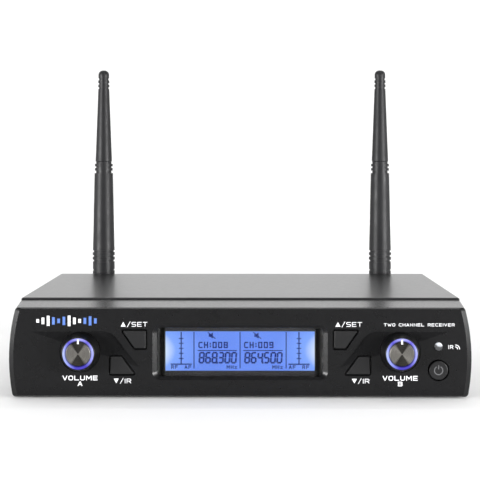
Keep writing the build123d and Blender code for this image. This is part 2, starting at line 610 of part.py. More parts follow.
JACK_MOUTH, JACK_LENGTH = REAR_BACK + 2.6, 31.8
with BuildPart() as jack_socket:
    slab((JACK_X - 8, JACK_X + 8), (REAR_FRONT - 30, REAR_FRONT), (MAIN_TOP, JACK_Z + 7.5))
    rod([(JACK_X, JACK_Z)], JACK_COLLAR, (REAR_FRONT - 0.1, JACK_MOUTH))
    rod([(JACK_X, JACK_Z)], JACK_BORE, (JACK_MOUTH - JACK_LENGTH, JACK_MOUTH + 1), mode=Mode.SUBTRACT)
save(jack_socket, "jack_socket")

with BuildPart() as jack_nut:
    with BuildSketch(front(REAR_BACK)):
        with Locations((JACK_X, JACK_Z)):
            RegularPolygon(7.4, 6)
            Circle(JACK_COLLAR, mode=Mode.SUBTRACT)
    extrude(amount=-2.0)
save(jack_nut, "jack_nut")

with BuildPart() as dc_inlet:
    slab((DC_X - 4.5, DC_X + 4.5), (REAR_FRONT - 13, REAR_FRONT), (MAIN_TOP, DC_Z + 5.5))
    rod([(DC_X, DC_Z)], DC_COLLAR, (REAR_FRONT - 0.1, REAR_BACK + 0.4))
    rod([(DC_X, DC_Z)], DC_BORE, (REAR_FRONT - 10, REAR_BACK + 1), mode=Mode.SUBTRACT)
    rod([(DC_X, DC_Z)], 1.0, (REAR_FRONT - 10.1, REAR_FRONT - 0.5))
save(dc_inlet, "dc_inlet")

# ---- Antennas ----------------------------------------------------------------------------------

SPIGOT_RADIUS = 2.4
SOCKET_BACK = REAR_BACK + 1.8
with BuildPart() as antenna_sockets:
    rod(ANTENNA_PLACES, ANTENNA_THREAD, (REAR_FRONT - 6, SOCKET_BACK))
    rod(ANTENNA_PLACES, 2.0, (REAR_FRONT - 8, REAR_FRONT - 5.9))
    with BuildSketch(front(REAR_BACK)):
        with Locations(*ANTENNA_PLACES):
            RegularPolygon(6.2, 6)
    extrude(amount=REAR_BACK - SOCKET_BACK)
    with BuildSketch(front(REAR_FRONT - 1.4)):
        with Locations(*ANTENNA_PLACES):
            RegularPolygon(6.2, 6)
    extrude(amount=-1.4)
    rod(ANTENNA_PLACES, SPIGOT_RADIUS + 0.05, (REAR_FRONT - 4, SOCKET_BACK + 1), mode=Mode.SUBTRACT)
save(antenna_sockets, "antenna_sockets")

# The mast's heights are above the case's underside, from its shoulder to its tip.
SHOULDER = ANTENNA_Z + 6.2
FLANGE_BACK = ANTENNA_DEPTH - 4.6
EAR_INNER, EAR_OUTER, EAR_RADIUS = 2.6, 5.3, 5.4
EAR_GAP = 0.12
TONGUE_RADIUS = 4.1
PIN_RADIUS = 1.25


def mast_profile():
    """The mast's half outline as (radius, height) corners, from its collar's foot to its dome's start."""
    grooves = [(52.1, 54.7, MAST_RADIUS, 5.7), (103.1, 105.5, 5.1, 4.4), (151.0, 153.4, 3.2, 2.65)]
    stretches = [(45.8, 6.25, 50.2, 6.25), (56.7, 6.25, 100.9, 5.28), (107.9, 4.7, 149.3, 3.15)]
    corners = [(0, SHOULDER), (6.25, SHOULDER), (6.25, 45.0), (5.8, 45.0), (5.8, 45.8)]
    for (low, low_radius, high, high_radius), (first, second, rim, neck) in zip(stretches, grooves):
        corners += [(low_radius, low), (high_radius, high), (neck, high)]
        for ring in (first, second):
            corners += [(neck, ring - 0.75), (rim, ring - 0.75), (rim, ring + 0.75), (neck, ring + 0.75)]
        corners += [(neck, second + 1.9)]
    return corners


DOME_START, DOME_RADIUS, DOME_ROUND = 155.3, 3.05, 2.6

for side_name, sign in SIDES.items():
    x = sign * ANTENNA_X
    with BuildPart() as swivel:
        rod([(x, ANTENNA_Z)], SPIGOT_RADIUS, (REAR_FRONT - 3.5, SOCKET_BACK + 0.3))
        rod([(x, ANTENNA_Z)], 5.6, (SOCKET_BACK + 0.2, FLANGE_BACK))
        for start in (x - EAR_OUTER, x + EAR_INNER):
            with BuildSketch(side(start)):
                with Locations((ANTENNA_DEPTH, ANTENNA_Z)):
                    Circle(EAR_RADIUS)
                with Locations(((FLANGE_BACK + ANTENNA_DEPTH) / 2 - 0.1, ANTENNA_Z)):
                    Rectangle(ANTENNA_DEPTH - FLANGE_BACK + 0.2, 9)
            extrude(amount=EAR_OUTER - EAR_INNER)
        with BuildSketch(side(x - 8)):
            with Locations((ANTENNA_DEPTH, ANTENNA_Z)):
                Circle(PIN_RADIUS)
        extrude(amount=16, mode=Mode.SUBTRACT)
    save(swivel, f"antenna_swivel_{side_name}")

    with BuildPart() as hinge_pin:
        with BuildSketch(side(x - EAR_OUTER)):
            with Locations((ANTENNA_DEPTH, ANTENNA_Z)):
                Circle(PIN_RADIUS)
        extrude(amount=2 * EAR_OUTER)
    save(hinge_pin, f"hinge_pin_{side_name}")

    mast_plane = Plane(origin=(x, FACE_Y + ANTENNA_DEPTH, PAD_PROUD), x_dir=(1, 0, 0), z_dir=(0, -1, 0))
    with BuildPart() as mast:
        with BuildSketch(mast_plane):
            with BuildLine():
                tip = [(DOME_RADIUS, DOME_START), (DOME_RADIUS, ANTENNA_TOP), (0, ANTENNA_TOP)]
                Polyline(*mast_profile(), *tip, close=True)
            make_face()
        revolve(axis=Axis(origin=mast_plane.origin, direction=(0, 0, 1)))
        fillet(mast.edges().group_by(Axis.Z)[-1], DOME_ROUND)
        # The tongue between the swivel's ears, rounded about the hinge pin.
        with BuildSketch(side(x - EAR_INNER + EAR_GAP)):
            with BuildLine():
                low, high = ANTENNA_DEPTH - TONGUE_RADIUS, ANTENNA_DEPTH + TONGUE_RADIUS
                Polyline((high, ANTENNA_Z), (high, SHOULDER + 1), (low, SHOULDER + 1), (low, ANTENNA_Z))
                ThreePointArc((low, ANTENNA_Z), (ANTENNA_DEPTH, ANTENNA_Z - TONGUE_RADIUS), (high, ANTENNA_Z))
            make_face()
        extrude(amount=2 * (EAR_INNER - EAR_GAP))
        with BuildSketch(side(x - 8)):
            with Locations((ANTENNA_DEPTH, ANTENNA_Z)):
                Circle(PIN_RADIUS + 0.05)
        extrude(amount=16, mode=Mode.SUBTRACT)
    save(mast, f"antenna_mast_{side_name}")

# ---- Screws of the case ------------------------------------------------------------------------

with BuildPart() as case_screws:
    for sign in SIDES.values():
        for radius, reach in ((SCREW_HEAD, SCREW_HEAD_HEIGHT), (SCREW_RADIUS, -5)):
            with BuildSketch(side(sign * COVER_HALF)):
                with Locations(*SIDE_SCREW_PLACES):
                    Circle(radius)
            extrude(amount=sign * reach)
    head_faces = case_screws.faces().group_by(Axis.X)
    fillet(head_faces[0].edges() + head_faces[-1].edges(), 0.6)
    for sign in SIDES.values():
        xs = sorted(sign * (COVER_HALF + SCREW_HEAD_HEIGHT - cut) for cut in (-1, RECESS_DEPTH))
        for depth, height in SIDE_SCREW_PLACES:
            for reach, rise in ((RECESS_REACH, RECESS_WIDTH), (RECESS_WIDTH, RECESS_REACH)):
                slab(xs, (depth - reach, depth + reach), (height - rise, height + rise), mode=Mode.SUBTRACT)
    rod(REAR_SCREW_PLACES, SCREW_RADIUS, (REAR_FRONT - 6, REAR_BACK + 0.1))
    rod(REAR_SCREW_PLACES, SCREW_HEAD, (REAR_BACK, REAR_BACK + SCREW_HEAD_HEIGHT))
    cut_crosses(REAR_SCREW_PLACES, REAR_BACK + SCREW_HEAD_HEIGHT, 1.0)
save(case_screws, "case_screws")

with BuildPart() as panel_screws:
    for place in PANEL_SCREW_PLACES:
        with BuildSketch(level(0)):
            with Locations(place):
                Circle(SUNK_HEAD)
        with BuildSketch(level(TRAY_WALL)):
            with Locations(place):
                Circle(SCREW_CLEARANCE)
        loft()
    post(PANEL_SCREW_PLACES, SMALL_SCREW, (TRAY_WALL - 0.1, 3.6))
save(panel_screws, "panel_screws")
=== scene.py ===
import math

import bmesh
import bpy
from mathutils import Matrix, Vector


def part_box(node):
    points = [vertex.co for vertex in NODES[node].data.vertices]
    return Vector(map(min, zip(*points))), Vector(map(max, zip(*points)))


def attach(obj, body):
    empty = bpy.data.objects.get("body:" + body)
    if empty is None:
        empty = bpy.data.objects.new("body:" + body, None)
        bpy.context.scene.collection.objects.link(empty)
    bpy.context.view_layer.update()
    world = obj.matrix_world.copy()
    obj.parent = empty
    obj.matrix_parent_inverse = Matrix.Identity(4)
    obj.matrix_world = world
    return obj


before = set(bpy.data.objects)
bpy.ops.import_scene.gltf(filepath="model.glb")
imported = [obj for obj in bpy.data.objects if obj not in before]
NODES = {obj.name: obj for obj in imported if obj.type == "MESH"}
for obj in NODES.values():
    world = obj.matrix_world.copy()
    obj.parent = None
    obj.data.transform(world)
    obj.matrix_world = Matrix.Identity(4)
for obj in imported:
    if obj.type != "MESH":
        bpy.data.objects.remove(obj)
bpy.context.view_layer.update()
MM = 0.001

scene = bpy.context.scene
scene.view_settings.view_transform = "Standard"


# ---- Places, all from the frame ----------------------------------------------------------------------------

def middle(node):
    low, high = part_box(node)
    return (low + high) / 2


PANEL_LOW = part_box("front_panel")[0]
FACE_Y = PANEL_LOW.y
BASE_Z = PANEL_LOW.z
LCD_MIDDLE = middle("lcd_glass")
LIT_HALF_WIDTH, LIT_HALF_HEIGHT = 34.3 * MM, 9.05 * MM  # the part of the display that shows


# ---- Camera, floor and light -------------------------------------------------------------------------------

CAMERA_DISTANCE = 0.650
CAMERA_HEIGHT = 0.1088
CAMERA_LENS = 106.6
CAMERA_RIGHT = 0.0040  # how far it stands to the right of the object's middle, aimed back at it
CAMERA_SHIFT = -0.167917  # the camera looks level, and its frame is lowered onto the object

PAPER_COLOUR = (0.86, 0.86, 0.86, 1)
WORLD_STRENGTH = 0.15

# The soft boxes: name, place, target, size, brightness.
LAMPS = [
    ("left_box", (-1.1, 0.15, 0.4), (0, 0, 0.05), (0.9, 0.8), 1.4),
    ("right_box", (1.1, 0.15, 0.4), (0, 0, 0.05), (0.9, 0.8), 1.4),
    # Low at the front, for the glints on the rods and on the panel's chamfers.
    ("left_strip", (-0.90, -0.60, 0.11), (0, 0, 0.08), (0.6, 0.22), 45),
    ("right_strip", (0.90, -0.60, 0.11), (0, 0, 0.08), (0.6, 0.22), 45),
    ("corner_glow", (0.42, -0.72, 0.30), (0.1, 0, 0.03), (0.2, 0.2), 9),
    ("top_box", (0, 0.1, 1.5), (0, 0, 0), (1.6, 1.2), 1.45),
    # What the lid mirrors, and the light on the wall above it.
    ("back_box", (0, 1.9, 0.95), (0, 0, 0.03), (3.4, 0.8), 0.95),
    ("wall_wash", (0, 1.4, 2.3), (0, 3.4, 0.4), (3.0, 0.8), 9),
]


def make_camera():
    data = bpy.data.cameras.new("camera")
    data.lens = CAMERA_LENS
    data.sensor_width = 36
    data.shift_y = CAMERA_SHIFT
    data.clip_end = 50
    camera = bpy.data.objects.new("camera", data)
    camera.location = (CAMERA_RIGHT, FACE_Y - CAMERA_DISTANCE, BASE_Z + CAMERA_HEIGHT)
    camera.rotation_euler = (math.pi / 2, 0, math.atan2(CAMERA_RIGHT, CAMERA_DISTANCE))
    scene.collection.objects.link(camera)
    scene.camera = camera


def make_lamp(name, place, target, size, brightness):
    """A rectangular soft box that faces a target. Its brightness is its face's, where lit paper's is 1."""
    data = bpy.data.lights.new(name, "AREA")
    data.shape = "RECTANGLE"
    data.size, data.size_y = size
    data.energy = brightness * size[0] * size[1] * math.pi
    lamp = bpy.data.objects.new(name, data)
    lamp.location = place
    aim = Vector(target) - Vector(place)
    lamp.rotation_euler = aim.to_track_quat("-Z", "Y").to_euler()
    scene.collection.objects.link(lamp)


def make_studio():
    """A floor that curves up into a wall behind the object, in one pale sheet."""
    front, depth, bend, height, half, steps = -6.0, 2.2, 1.2, 4.0, 6.0, 12
    profile = [(front, 0.0), (depth, 0.0)]
    for step in range(1, steps + 1):
        angle = math.pi / 2 * step / steps
        profile.append((depth + bend * math.sin(angle), bend * (1 - math.cos(angle))))
    profile.append((depth + bend, height))
    mesh = bpy.data.meshes.new("studio_floor")
    verts = [(x, y, z) for y, z in profile for x in (-half, half)]
    faces = [(2 * i, 2 * i + 1, 2 * i + 3, 2 * i + 2) for i in range(len(profile) - 1)]
    mesh.from_pydata(verts, [], faces)
    for face in mesh.polygons:
        face.use_smooth = True
    floor = bpy.data.objects.new("studio_floor", mesh)
    scene.collection.objects.link(floor)
    material = bpy.data.materials.new("studio_paper")
    material.use_nodes = True
    shader = material.node_tree.nodes["Principled BSDF"]
    shader.inputs["Base Color"].default_value = PAPER_COLOUR
    shader.inputs["Roughness"].default_value = 0.9
    mesh.materials.append(material)
    world = bpy.data.worlds.new("studio")
    world.use_nodes = True
    background = world.node_tree.nodes["Background"]
    background.inputs["Color"].default_value = (1, 1, 1, 1)
    background.inputs["Strength"].default_value = WORLD_STRENGTH
    scene.world = world


make_camera()
make_studio()
for lamp_settings in LAMPS:
    make_lamp(*lamp_settings)


# ---- Material building -------------------------------------------------------------------------------------

EDGE_WEAR_AND_GLINT = 0.3 * MM  # how far the rubbed and painted-highlight band reaches in from an edge
# The lighter edge colour of painted parts: rubbing wear and painted highlight.
RUBBED_AND_GLINT_PAINT = (0.06, 0.06, 0.063)
RELIEF = 0.02 * MM  # the depth of a skin's or a grain's relief
GRAIN = 2600  # cells per metre of a moulded or painted skin
SOCKETS = {"color": "Base Color", "specular": "Specular IOR Level", "coat": "Coat Weight", "ior": "IOR",
           "coat_roughness": "Coat Roughness", "transmission": "Transmission Weight",
           "glow": "Emission Strength"}


class Paint:
    """A procedural material under construction."""

    def __init__(self, name):
        self.material = bpy.data.materials.new(name)
        self.material.use_nodes = True
        self.tree = self.material.node_tree
        self.shader = self.tree.nodes["Principled BSDF"]
        self.place = self.node("ShaderNodeTexCoord").outputs["Object"]

    def node(self, kind, **settings):
        made = self.tree.nodes.new(kind)
        for key, value in settings.items():
            setattr(made, key, value)
        return made

    def link(self, source, target):
        self.tree.links.new(source, target)

    def drive(self, socket, source):
        """The shader's socket of that name follows a value or a colour."""
        self.link(source, self.shader.inputs[socket])

    def set(self, **values):
        """Numbers and colours on the shader's own sockets."""
        for key, value in values.items():
            socket = self.shader.inputs[SOCKETS.get(key, key.capitalize())]
            socket.default_value = (*value, 1) if isinstance(value, tuple) else value

    def noise(self, scale, detail=3.0, rough=0.5, stretch=None):
        """A noise value over the object's own coordinates. scale is in cells per metre."""
        source = self.place
        if stretch:
            mapping = self.node("ShaderNodeMapping")
            mapping.inputs["Scale"].default_value = stretch
            self.link(source, mapping.inputs["Vector"])
            source = mapping.outputs["Vector"]
        noise = self.node("ShaderNodeTexNoise")
        noise.inputs["Scale"].default_value = scale
        noise.inputs["Detail"].default_value = detail
        noise.inputs["Roughness"].default_value = rough
        self.link(source, noise.inputs["Vector"])
        return noise.outputs["Fac"]

    def spread(self, value, low, high, start=0.3, end=0.7):
        """A value mapped from start..end to low..high."""
        ramp = self.node("ShaderNodeMapRange")
        ramp.inputs["From Min"].default_value = start
        ramp.inputs["From Max"].default_value = end
        ramp.inputs["To Min"].default_value = low
        ramp.inputs["To Max"].default_value = high
        self.link(value, ramp.inputs["Value"])
        return ramp.outputs["Result"]

    def mix(self, value, low, high):
        """A colour between two, by a value."""
        mix = self.node("ShaderNodeMix", data_type="RGBA")
        self.link(value, mix.inputs["Factor"])
        for socket, colour in ((mix.inputs["A"], low), (mix.inputs["B"], high)):
            if isinstance(colour, tuple):
                socket.default_value = (*colour, 1)
            else:
                self.link(colour, socket)
        return mix.outputs["Result"]

    def math(self, kind, first, second=0.0):
        made = self.node("ShaderNodeMath", operation=kind)
        for socket, value in zip(made.inputs, (first, second)):
            if isinstance(value, (int, float)):
                socket.default_value = value
            else:
                self.link(value, socket)
        return made.outputs["Value"]

    def bump(self, value, strength, distance):
        bump = self.node("ShaderNodeBump")
        bump.inputs["Strength"].default_value = strength
        bump.inputs["Distance"].default_value = distance
        self.link(value, bump.inputs["Height"])
        self.drive("Normal", bump.outputs["Normal"])

    def worn_and_glinting(self, base, edge, amount):
        """A colour that lightens along the surface's sharp edges, broken up by noise: part rubbing wear, part
        painted highlight.
        """
        rounded = self.node("ShaderNodeBevel", samples=4)
        rounded.inputs["Radius"].default_value = EDGE_WEAR_AND_GLINT
        agreement = self.node("ShaderNodeVectorMath", operation="DOT_PRODUCT")
        self.link(rounded.outputs["Normal"], agreement.inputs[0])
        self.link(self.node("ShaderNodeNewGeometry").outputs["Normal"], agreement.inputs[1])
        # Wear and painted highlight: this edge mask lightens the colour where the surface turns sharply.
        worn_and_glint_edge = self.spread(agreement.outputs["Value"], 1, 0, 0.80, 0.99)
        patch = self.spread(self.noise(900, 4), 0, amount, 0.4, 0.7)
        return self.mix(self.math("MULTIPLY", worn_and_glint_edge, patch), base, edge)


def grained_plastic(name, color, lighter, roughness, specular=0.5):
    """Moulded plastic with a fine spark-eroded grain, slight mottling, and edges lightened by rubbing wear
    and a painted highlight.
    """
    paint = Paint(name)
    mottle = paint.mix(paint.spread(paint.noise(240, 4), 0, 1), color, lighter)
    # The lighter edge colour: rubbing wear and painted highlight.
    rub_and_glint = tuple(min(1, 2 * c + 0.015) for c in lighter)
    paint.drive("Base Color", paint.worn_and_glinting(mottle, rub_and_glint, 0.6))
    paint.drive("Roughness", paint.spread(paint.noise(700, 3), roughness - 0.015, roughness + 0.015))
    paint.set(specular=specular)
    paint.bump(paint.noise(GRAIN, 2), 0.03, RELIEF)
    return paint.material


def powder_coat(name, color, lighter, roughness):
    """Baked powder paint: a fine orange-peel skin with faint dust-like variation."""
    paint = Paint(name)
    mottle = paint.mix(paint.spread(paint.noise(160, 5), 0, 1), color, lighter)
    # Edges lighten towards the rubbed colour: rubbing wear and painted highlight.
    paint.drive("Base Color", paint.worn_and_glinting(mottle, RUBBED_AND_GLINT_PAINT, 0.6))
    paint.drive("Roughness", paint.spread(paint.noise(400, 4), roughness - 0.01, roughness + 0.01))
    paint.set(specular=0.3)
    paint.bump(paint.noise(GRAIN, 2), 0.04, RELIEF)
    return paint.material


def brushed_metal(name, color, roughness, stretch=(1, 40, 1)):
    """Metal with fine lines along one direction and faint staining."""
    paint = Paint(name)
    lines = paint.noise(300, 6, 0.6, stretch)
    darker = tuple(0.72 * c for c in color)
    paint.drive("Base Color", paint.mix(paint.spread(lines, 0, 1), darker, color))
    paint.drive("Roughness", paint.spread(paint.noise(120, 4), roughness - 0.06, roughness + 0.08))
    paint.set(metallic=1.0)
    paint.bump(lines, 0.15, RELIEF)
    return paint.material


def plain_rubber(name, color, lighter, roughness, specular=0.4):
    """Rubber with a soft skin, a touch of bloom and fine pits."""
    paint = Paint(name)
    paint.drive("Base Color", paint.mix(paint.spread(paint.noise(110, 5), 0, 1), color, lighter))
    paint.drive("Roughness", paint.spread(paint.noise(200, 4), roughness - 0.05, roughness + 0.06))
    paint.set(specular=specular)
    paint.bump(paint.noise(3000, 2), 0.1, RELIEF)
    return paint.material


def spun_aluminium(name):
    """A disc turned about Y: circular grooves, with a painted highlight in fans to the left and right and
    painted shade in fans above and below.
    """
    paint = Paint(name)
    generated = paint.node("ShaderNodeTexCoord").outputs["Generated"]
    centred = paint.node("ShaderNodeVectorMath", operation="SUBTRACT")
    centred.inputs[1].default_value = (0.5, 0.5, 0.5)
    paint.link(generated, centred.inputs[0])
    flat = paint.node("ShaderNodeVectorMath", operation="MULTIPLY")
    flat.inputs[1].default_value = (1, 0, 1)
    paint.link(centred.outputs["Vector"], flat.inputs[0])
    radius = paint.node("ShaderNodeVectorMath", operation="LENGTH")
    paint.link(flat.outputs["Vector"], radius.inputs[0])
    grooves = paint.node("ShaderNodeTexNoise", noise_dimensions="1D")
    grooves.inputs["Scale"].default_value = 60
    grooves.inputs["Detail"].default_value = 6
    paint.link(radius.outputs["Value"], grooves.inputs["W"])
    parts = paint.node("ShaderNodeSeparateXYZ")
    paint.link(flat.outputs["Vector"], parts.inputs["Vector"])
    across = paint.math("DIVIDE", paint.math("ABSOLUTE", parts.outputs["X"]), radius.outputs["Value"])
    # Painted highlight and shade: the colour is lighter in the fans to the left and right and darker above
    # and below, in place of the spun disc's reflections.
    painted_highlight_fan = paint.spread(across, 0, 1, 0.50, 0.72)
    groove = paint.spread(grooves.outputs["Fac"], 0, 1)
    light = paint.mix(groove, (0.17, 0.162, 0.148), (0.27, 0.258, 0.238))
    dark = paint.mix(groove, (0.018, 0.017, 0.015), (0.045, 0.042, 0.038))
    paint.drive("Base Color", paint.mix(painted_highlight_fan, dark, light))
    paint.drive("Roughness", paint.spread(grooves.outputs["Fac"], 0.26, 0.36))
    tangent = paint.node("ShaderNodeTangent", direction_type="RADIAL", axis="Y")
    paint.drive("Tangent", tangent.outputs["Tangent"])
    paint.set(metallic=1.0, anisotropic=0.6)
    paint.bump(grooves.outputs["Fac"], 0.1, RELIEF)
    return paint.material


def height_share(paint, node):
    """How high a point is in a node's box, from 0 to 1."""
    low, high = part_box(node)
    parts = paint.node("ShaderNodeSeparateXYZ")
    paint.link(paint.place, parts.inputs["Vector"])
    return paint.spread(parts.outputs["Z"], 0, 1, low.z, high.z)


# The ring's glow round the clock, from the left through the foot, the right and the top.
RING_GLOW = [(0.0, (0.50, 0.60, 0.98)), (0.12, (0.34, 0.40, 0.95)), (0.22, (0.055, 0.035, 0.48)),
             (0.34, (0.05, 0.03, 0.44)), (0.44, (0.36, 0.38, 0.92)), (0.54, (0.46, 0.50, 0.98)),
             (0.64, (0.15, 0.12, 0.70)), (0.74, (0.52, 0.54, 0.98)), (0.86, (0.10, 0.08, 0.60)),
             (1.0, (0.50, 0.60, 0.98))]
RING_DEEP = (0.007, 0.004, 0.105)
RING_BAND = (0.80, 0.90)  # where the bright band starts and is full, as shares of the ring's radius


def ring_light(name, node):
    """A light guide: a deep blue moat with a thin bright band at its rim, where its lamps show unevenly."""
    paint = Paint(name)
    low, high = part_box(node)
    offset = paint.node("ShaderNodeVectorMath", operation="SUBTRACT")
    offset.inputs[1].default_value = (low + high) / 2
    paint.link(paint.place, offset.inputs[0])
    parts = paint.node("ShaderNodeSeparateXYZ")
    paint.link(offset.outputs["Vector"], parts.inputs["Vector"])
    x, z = parts.outputs["X"], parts.outputs["Z"]
    squares = paint.math("ADD", paint.math("MULTIPLY", x, x), paint.math("MULTIPLY", z, z))
    rim = (high.x - low.x) / 2
    band = paint.spread(paint.math("SQRT", squares), 0, 1, RING_BAND[0] * rim, RING_BAND[1] * rim)
    turn = paint.spread(paint.math("ARCTAN2", z, x), 0, 1, -math.pi, math.pi)
    ramp = paint.node("ShaderNodeValToRGB")
    paint.link(turn, ramp.inputs["Fac"])
    elements = ramp.color_ramp.elements
    elements[0].color, elements[1].color = (*RING_GLOW[0][1], 1), (*RING_GLOW[-1][1], 1)
    for position, colour in RING_GLOW[1:-1]:
        made = elements.new(position)
        made.color = (*colour, 1)
    paint.drive("Emission Color", paint.mix(band, RING_DEEP, ramp.outputs["Color"]))
    paint.drive("Roughness", paint.spread(paint.noise(1200, 3), 0.25, 0.4))
    paint.set(color=(0.01, 0.01, 0.06), specular=0.3, glow=1.0)
    paint.bump(paint.noise(2500, 2), 0.05, RELIEF)
    return paint.material


LCD_SPOT_SAG = 2200.0  # how fast the lamp spots fall back above and below mid-height


def backlit_lcd(name):
    """The lit cell: an even pale blue, with a bright lamp spot at mid-height at each end."""
    paint = Paint(name)
    parts = paint.node("ShaderNodeSeparateXYZ")
    paint.link(paint.place, parts.inputs["Vector"])
    across = paint.math("DIVIDE", paint.math("ABSOLUTE", parts.outputs["X"]), LIT_HALF_WIDTH)
    height = paint.math("SUBTRACT", parts.outputs["Z"], LCD_MIDDLE.z)
    sag = paint.math("MULTIPLY", paint.math("MULTIPLY", height, height), LCD_SPOT_SAG)
    reach = paint.math("SUBTRACT", across, sag)
    glow = paint.spread(reach, 0, 1, 0.45, 0.92)
    spot = paint.spread(reach, 0, 1, 0.86, 1.0)
    body = paint.mix(glow, (0.135, 0.265, 0.84), (0.215, 0.395, 0.97))
    lit = paint.mix(spot, body, (0.66, 0.78, 0.97))
    clouded = paint.mix(paint.spread(paint.noise(60, 3), 0.93, 1.0), (0.05, 0.12, 0.6), lit)
    paint.drive("Emission Color", clouded)
    paint.set(color=(0.006, 0.012, 0.04), roughness=0.3, specular=0.1, glow=1.0)
    return paint.material


def lcd_ink(name):
    """A dark liquid crystal segment, faintly uneven."""
    paint = Paint(name)
    shade = paint.mix(paint.spread(paint.noise(400, 2), 0, 1), (0.002, 0.010, 0.13), (0.005, 0.018, 0.19))
    paint.drive("Emission Color", shade)
    paint.set(color=(0.004, 0.008, 0.03), roughness=0.4, specular=0.1, glow=1.0)
    return paint.material


def clear_plastic(name, roughness, ior):
    """Clear moulded plastic with faint wipe marks."""
    paint = Paint(name)
    paint.set(color=(1.0, 1.0, 1.0), transmission=1.0, ior=ior)
    wiped = paint.noise(80, 4, stretch=(1, 1, 5))
    paint.drive("Roughness", paint.spread(wiped, roughness, roughness + 0.03))
    return paint.material


def lens_with_painted_glint(name):
    """A water-clear moulded lens with a painted highlight and a painted glow: its colour and emission turn
    bright in noisy patches over its upper half.
    """
    paint = Paint(name)
    breakup = paint.math("MULTIPLY", paint.noise(420, 2), 0.9)
    uneven = paint.math("ADD", height_share(paint, "ir_lens"), breakup)
    painted_glint = paint.spread(uneven, 0, 1, 0.95, 1.25)
    # Painted highlight: the base colour and a glow brighten towards the top in noisy patches, though the lens
    # is no visible lamp.
    paint.drive("Base Color", paint.mix(painted_glint, (0.03, 0.031, 0.034), (0.5, 0.52, 0.55)))
    paint.drive("Emission Color", paint.mix(painted_glint, (0.0, 0.0, 0.0), (0.42, 0.44, 0.47)))
    paint.drive("Roughness", paint.spread(paint.noise(900, 2), 0.06, 0.14))
    paint.set(glow=1.0, coat=0.6, coat_roughness=0.05)
    paint.bump(paint.noise(1400, 2), 0.15, 2.5 * RELIEF)
    return paint.material


def print_ink(name, color, roughness=0.5):
    """Screen-printed ink, with the mesh's faint unevenness."""
    paint = Paint(name)
    dim = tuple(0.8 * c for c in color)
    paint.drive("Base Color", paint.mix(paint.spread(paint.noise(2200, 2), 0, 1), dim, color))
    paint.set(roughness=roughness)
    paint.bump(paint.noise(3000, 1), 0.1, RELIEF / 2)
    return paint.material


def board_laminate(name):
    """Green solder mask over copper tracks."""
    paint = Paint(name)
    tracks = paint.node("ShaderNodeTexBrick")
    tracks.inputs["Scale"].default_value = 220
    tracks.inputs["Color1"].default_value = (0.012, 0.10, 0.04, 1)
    tracks.inputs["Color2"].default_value = (0.018, 0.13, 0.05, 1)
    tracks.inputs["Mortar"].default_value = (0.03, 0.20, 0.08, 1)
    tracks.inputs["Mortar Size"].default_value = 0.03
    paint.link(paint.place, tracks.inputs["Vector"])
    paint.drive("Base Color", tracks.outputs["Color"])
    paint.drive("Roughness", paint.spread(paint.noise(300, 3), 0.28, 0.4))
    paint.bump(tracks.outputs["Fac"], 0.2, 1.5 * RELIEF)
    return paint.material


# ---- Materials of the CAD nodes ----------------------------------------------------------------------------

COVER = powder_coat("cover_paint", (0.010, 0.010, 0.011), (0.013, 0.013, 0.014), 0.30)
TRAY = powder_coat("tray_paint", (0.012, 0.012, 0.013), (0.016, 0.016, 0.017), 0.42)
PANEL = grained_plastic("panel_plastic", (0.0045, 0.0045, 0.0048), (0.0056, 0.0056, 0.006), 0.25,
                        specular=0.18)
BUTTON = grained_plastic("button_plastic", (0.009, 0.009, 0.0094), (0.0105, 0.0105, 0.011), 0.36,
                         specular=0.24)
KNOB = grained_plastic("knob_plastic", (0.003, 0.003, 0.0032), (0.0045, 0.0045, 0.0048), 0.3, specular=0.3)
DARK = grained_plastic("dark_plastic", (0.012, 0.012, 0.012), (0.02, 0.02, 0.02), 0.5)
SWITCH = grained_plastic("switch_plastic", (0.05, 0.05, 0.05), (0.08, 0.08, 0.08), 0.45)
NYLON = grained_plastic("header_plastic", (0.72, 0.69, 0.6), (0.8, 0.78, 0.7), 0.5)
RIBBON = grained_plastic("ribbon", (0.38, 0.38, 0.4), (0.46, 0.46, 0.48), 0.45)
SLEEVE = grained_plastic("capacitor_sleeve", (0.02, 0.025, 0.06), (0.03, 0.04, 0.08), 0.25)
ANTENNA = plain_rubber("antenna_rubber", (0.012, 0.012, 0.013), (0.016, 0.016, 0.017), 0.40, specular=0.15)
RUBBER = plain_rubber("foot_rubber", (0.012, 0.012, 0.012), (0.025, 0.025, 0.025), 0.75)
STEEL = brushed_metal("plated_steel", (0.55, 0.55, 0.54), 0.34)
BLACK_STEEL = brushed_metal("black_steel", (0.06, 0.06, 0.065), 0.38, (1, 1, 1))
NICKEL = brushed_metal("satin_nickel", (0.58, 0.56, 0.52), 0.3, (1, 1, 20))
BRASS = brushed_metal("plated_brass", (0.62, 0.50, 0.28), 0.28)
TIN = brushed_metal("tinned_sheet", (0.62, 0.62, 0.6), 0.36, (40, 1, 1))
BOARD = board_laminate("board_laminate")
CLEAR = clear_plastic("window_acrylic", 0.02, ior=1.2)
LENS = lens_with_painted_glint("lens_clear")
WHITE = print_ink("white_ink", (0.80, 0.80, 0.82))
BLUE = print_ink("blue_ink", (0.075, 0.16, 0.48))
GREY = print_ink("grey_ink", (0.10, 0.10, 0.105))
BLACK_MASK = print_ink("black_mask", (0.006, 0.006, 0.007), 0.35)
LIT = backlit_lcd("lcd_lit")
INK = lcd_ink("lcd_ink")

